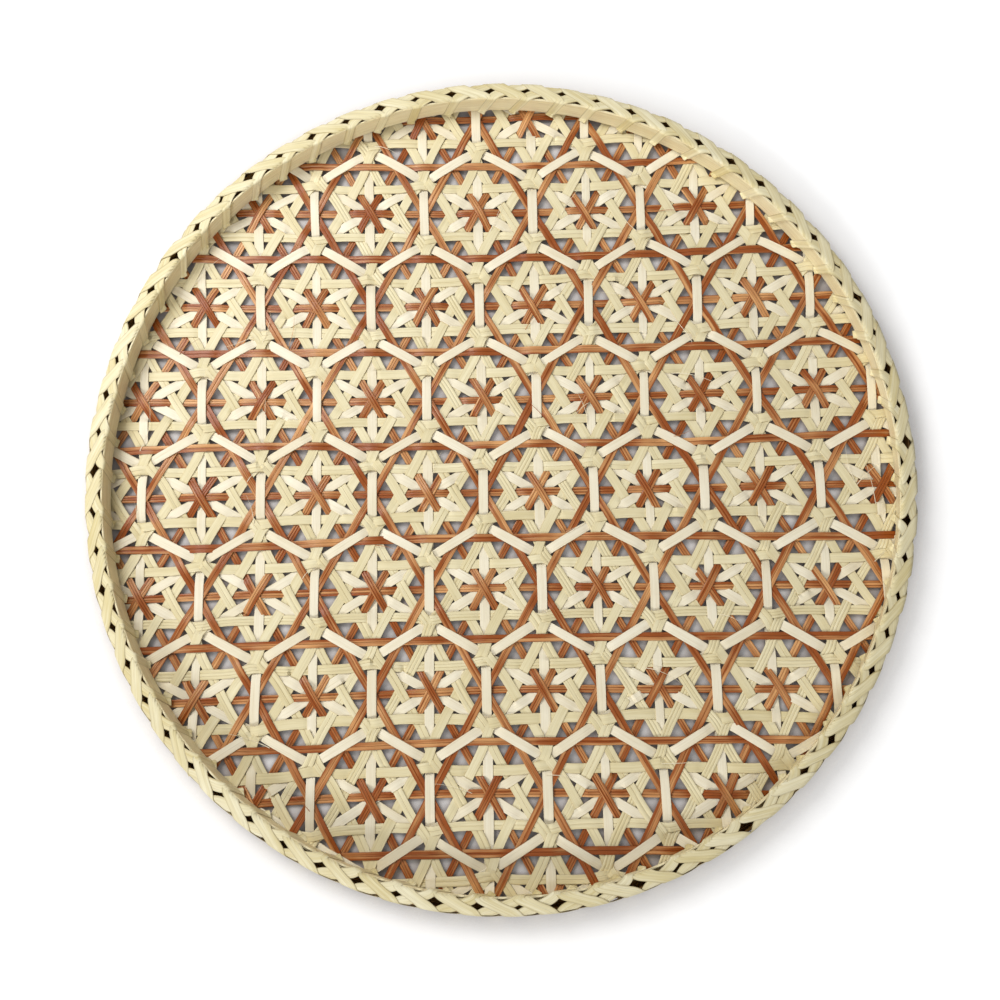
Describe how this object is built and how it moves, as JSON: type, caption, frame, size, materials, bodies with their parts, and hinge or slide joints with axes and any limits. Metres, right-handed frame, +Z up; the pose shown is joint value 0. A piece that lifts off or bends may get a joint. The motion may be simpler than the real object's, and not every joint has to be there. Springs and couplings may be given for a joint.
{
  "type": "bamboo tray",
  "caption": "Shallow round bamboo tray, woven openly in a star pattern of natural and brown strips, with a low hooped wall bound by a plaited lashing, for serving, drying or display.",
  "frame": {"origin": "centre of the underside, on the surface that the tray stands on", "axes": "+Z up, out of the tray; +Y along the longer diameter of its slightly oval rim; +X to the right"},
  "size_m": [0.3998, 0.4046, 0.0161],
  "materials": {
    "natural_strip": "split bamboo, satin",
    "star_strip": "split bamboo, satin",
    "brown_strip": "stained split bamboo, satin",
    "hoop": "split bamboo, smooth",
    "lashing": "split bamboo, satin"
  },
  "bodies": {
    "root": {"comb_strip_a_01": "natural_strip", "comb_strip_a_02": "natural_strip", "comb_strip_a_03": "natural_strip", "comb_strip_a_04": "natural_strip", "comb_strip_a_05": "natural_strip", "comb_strip_a_06": "natural_strip", "comb_strip_a_07": "natural_strip", "comb_strip_a_08": "natural_strip", "comb_strip_a_09": "natural_strip", "comb_strip_a_10": "natural_strip", "comb_strip_a_11": "natural_strip", "comb_strip_a_12": "natural_strip", "comb_strip_a_13": "natural_strip", "comb_strip_a_14": "natural_strip", "comb_strip_b_01": "natural_strip", "comb_strip_b_02": "natural_strip", "comb_strip_b_03": "natural_strip", "comb_strip_b_04": "natural_strip", "comb_strip_b_05": "natural_strip", "comb_strip_b_06": "natural_strip", "comb_strip_b_07": "natural_strip", "comb_strip_b_08": "natural_strip", "comb_strip_b_09": "natural_strip", "comb_strip_b_10": "natural_strip", "comb_strip_b_11": "natural_strip", "comb_strip_b_12": "natural_strip", "comb_strip_b_13": "natural_strip", "comb_strip_b_14": "natural_strip", "comb_strip_c_01": "natural_strip", "comb_strip_c_02": "natural_strip", "comb_strip_c_03": "natural_strip", "comb_strip_c_04": "natural_strip", "comb_strip_c_05": "natural_strip", "comb_strip_c_06": "natural_strip", "comb_strip_c_07": "natural_strip", "comb_strip_c_08": "natural_strip", "comb_strip_c_09": "natural_strip", "comb_strip_c_10": "natural_strip", "comb_strip_c_11": "natural_strip", "comb_strip_c_12": "natural_strip", "comb_strip_c_13": "natural_strip", "comb_strip_c_14": "natural_strip", "star_strips_natural": "star_strip", "star_strips_brown_centre": "brown_strip", "star_strips_brown_ring": "brown_strip", "inner_hoop": "hoop", "outer_hoop": "hoop", "rim_lashing_1": "lashing", "rim_lashing_2": "lashing", "rim_lashing_3": "lashing"}
  },
  "joints": []
}
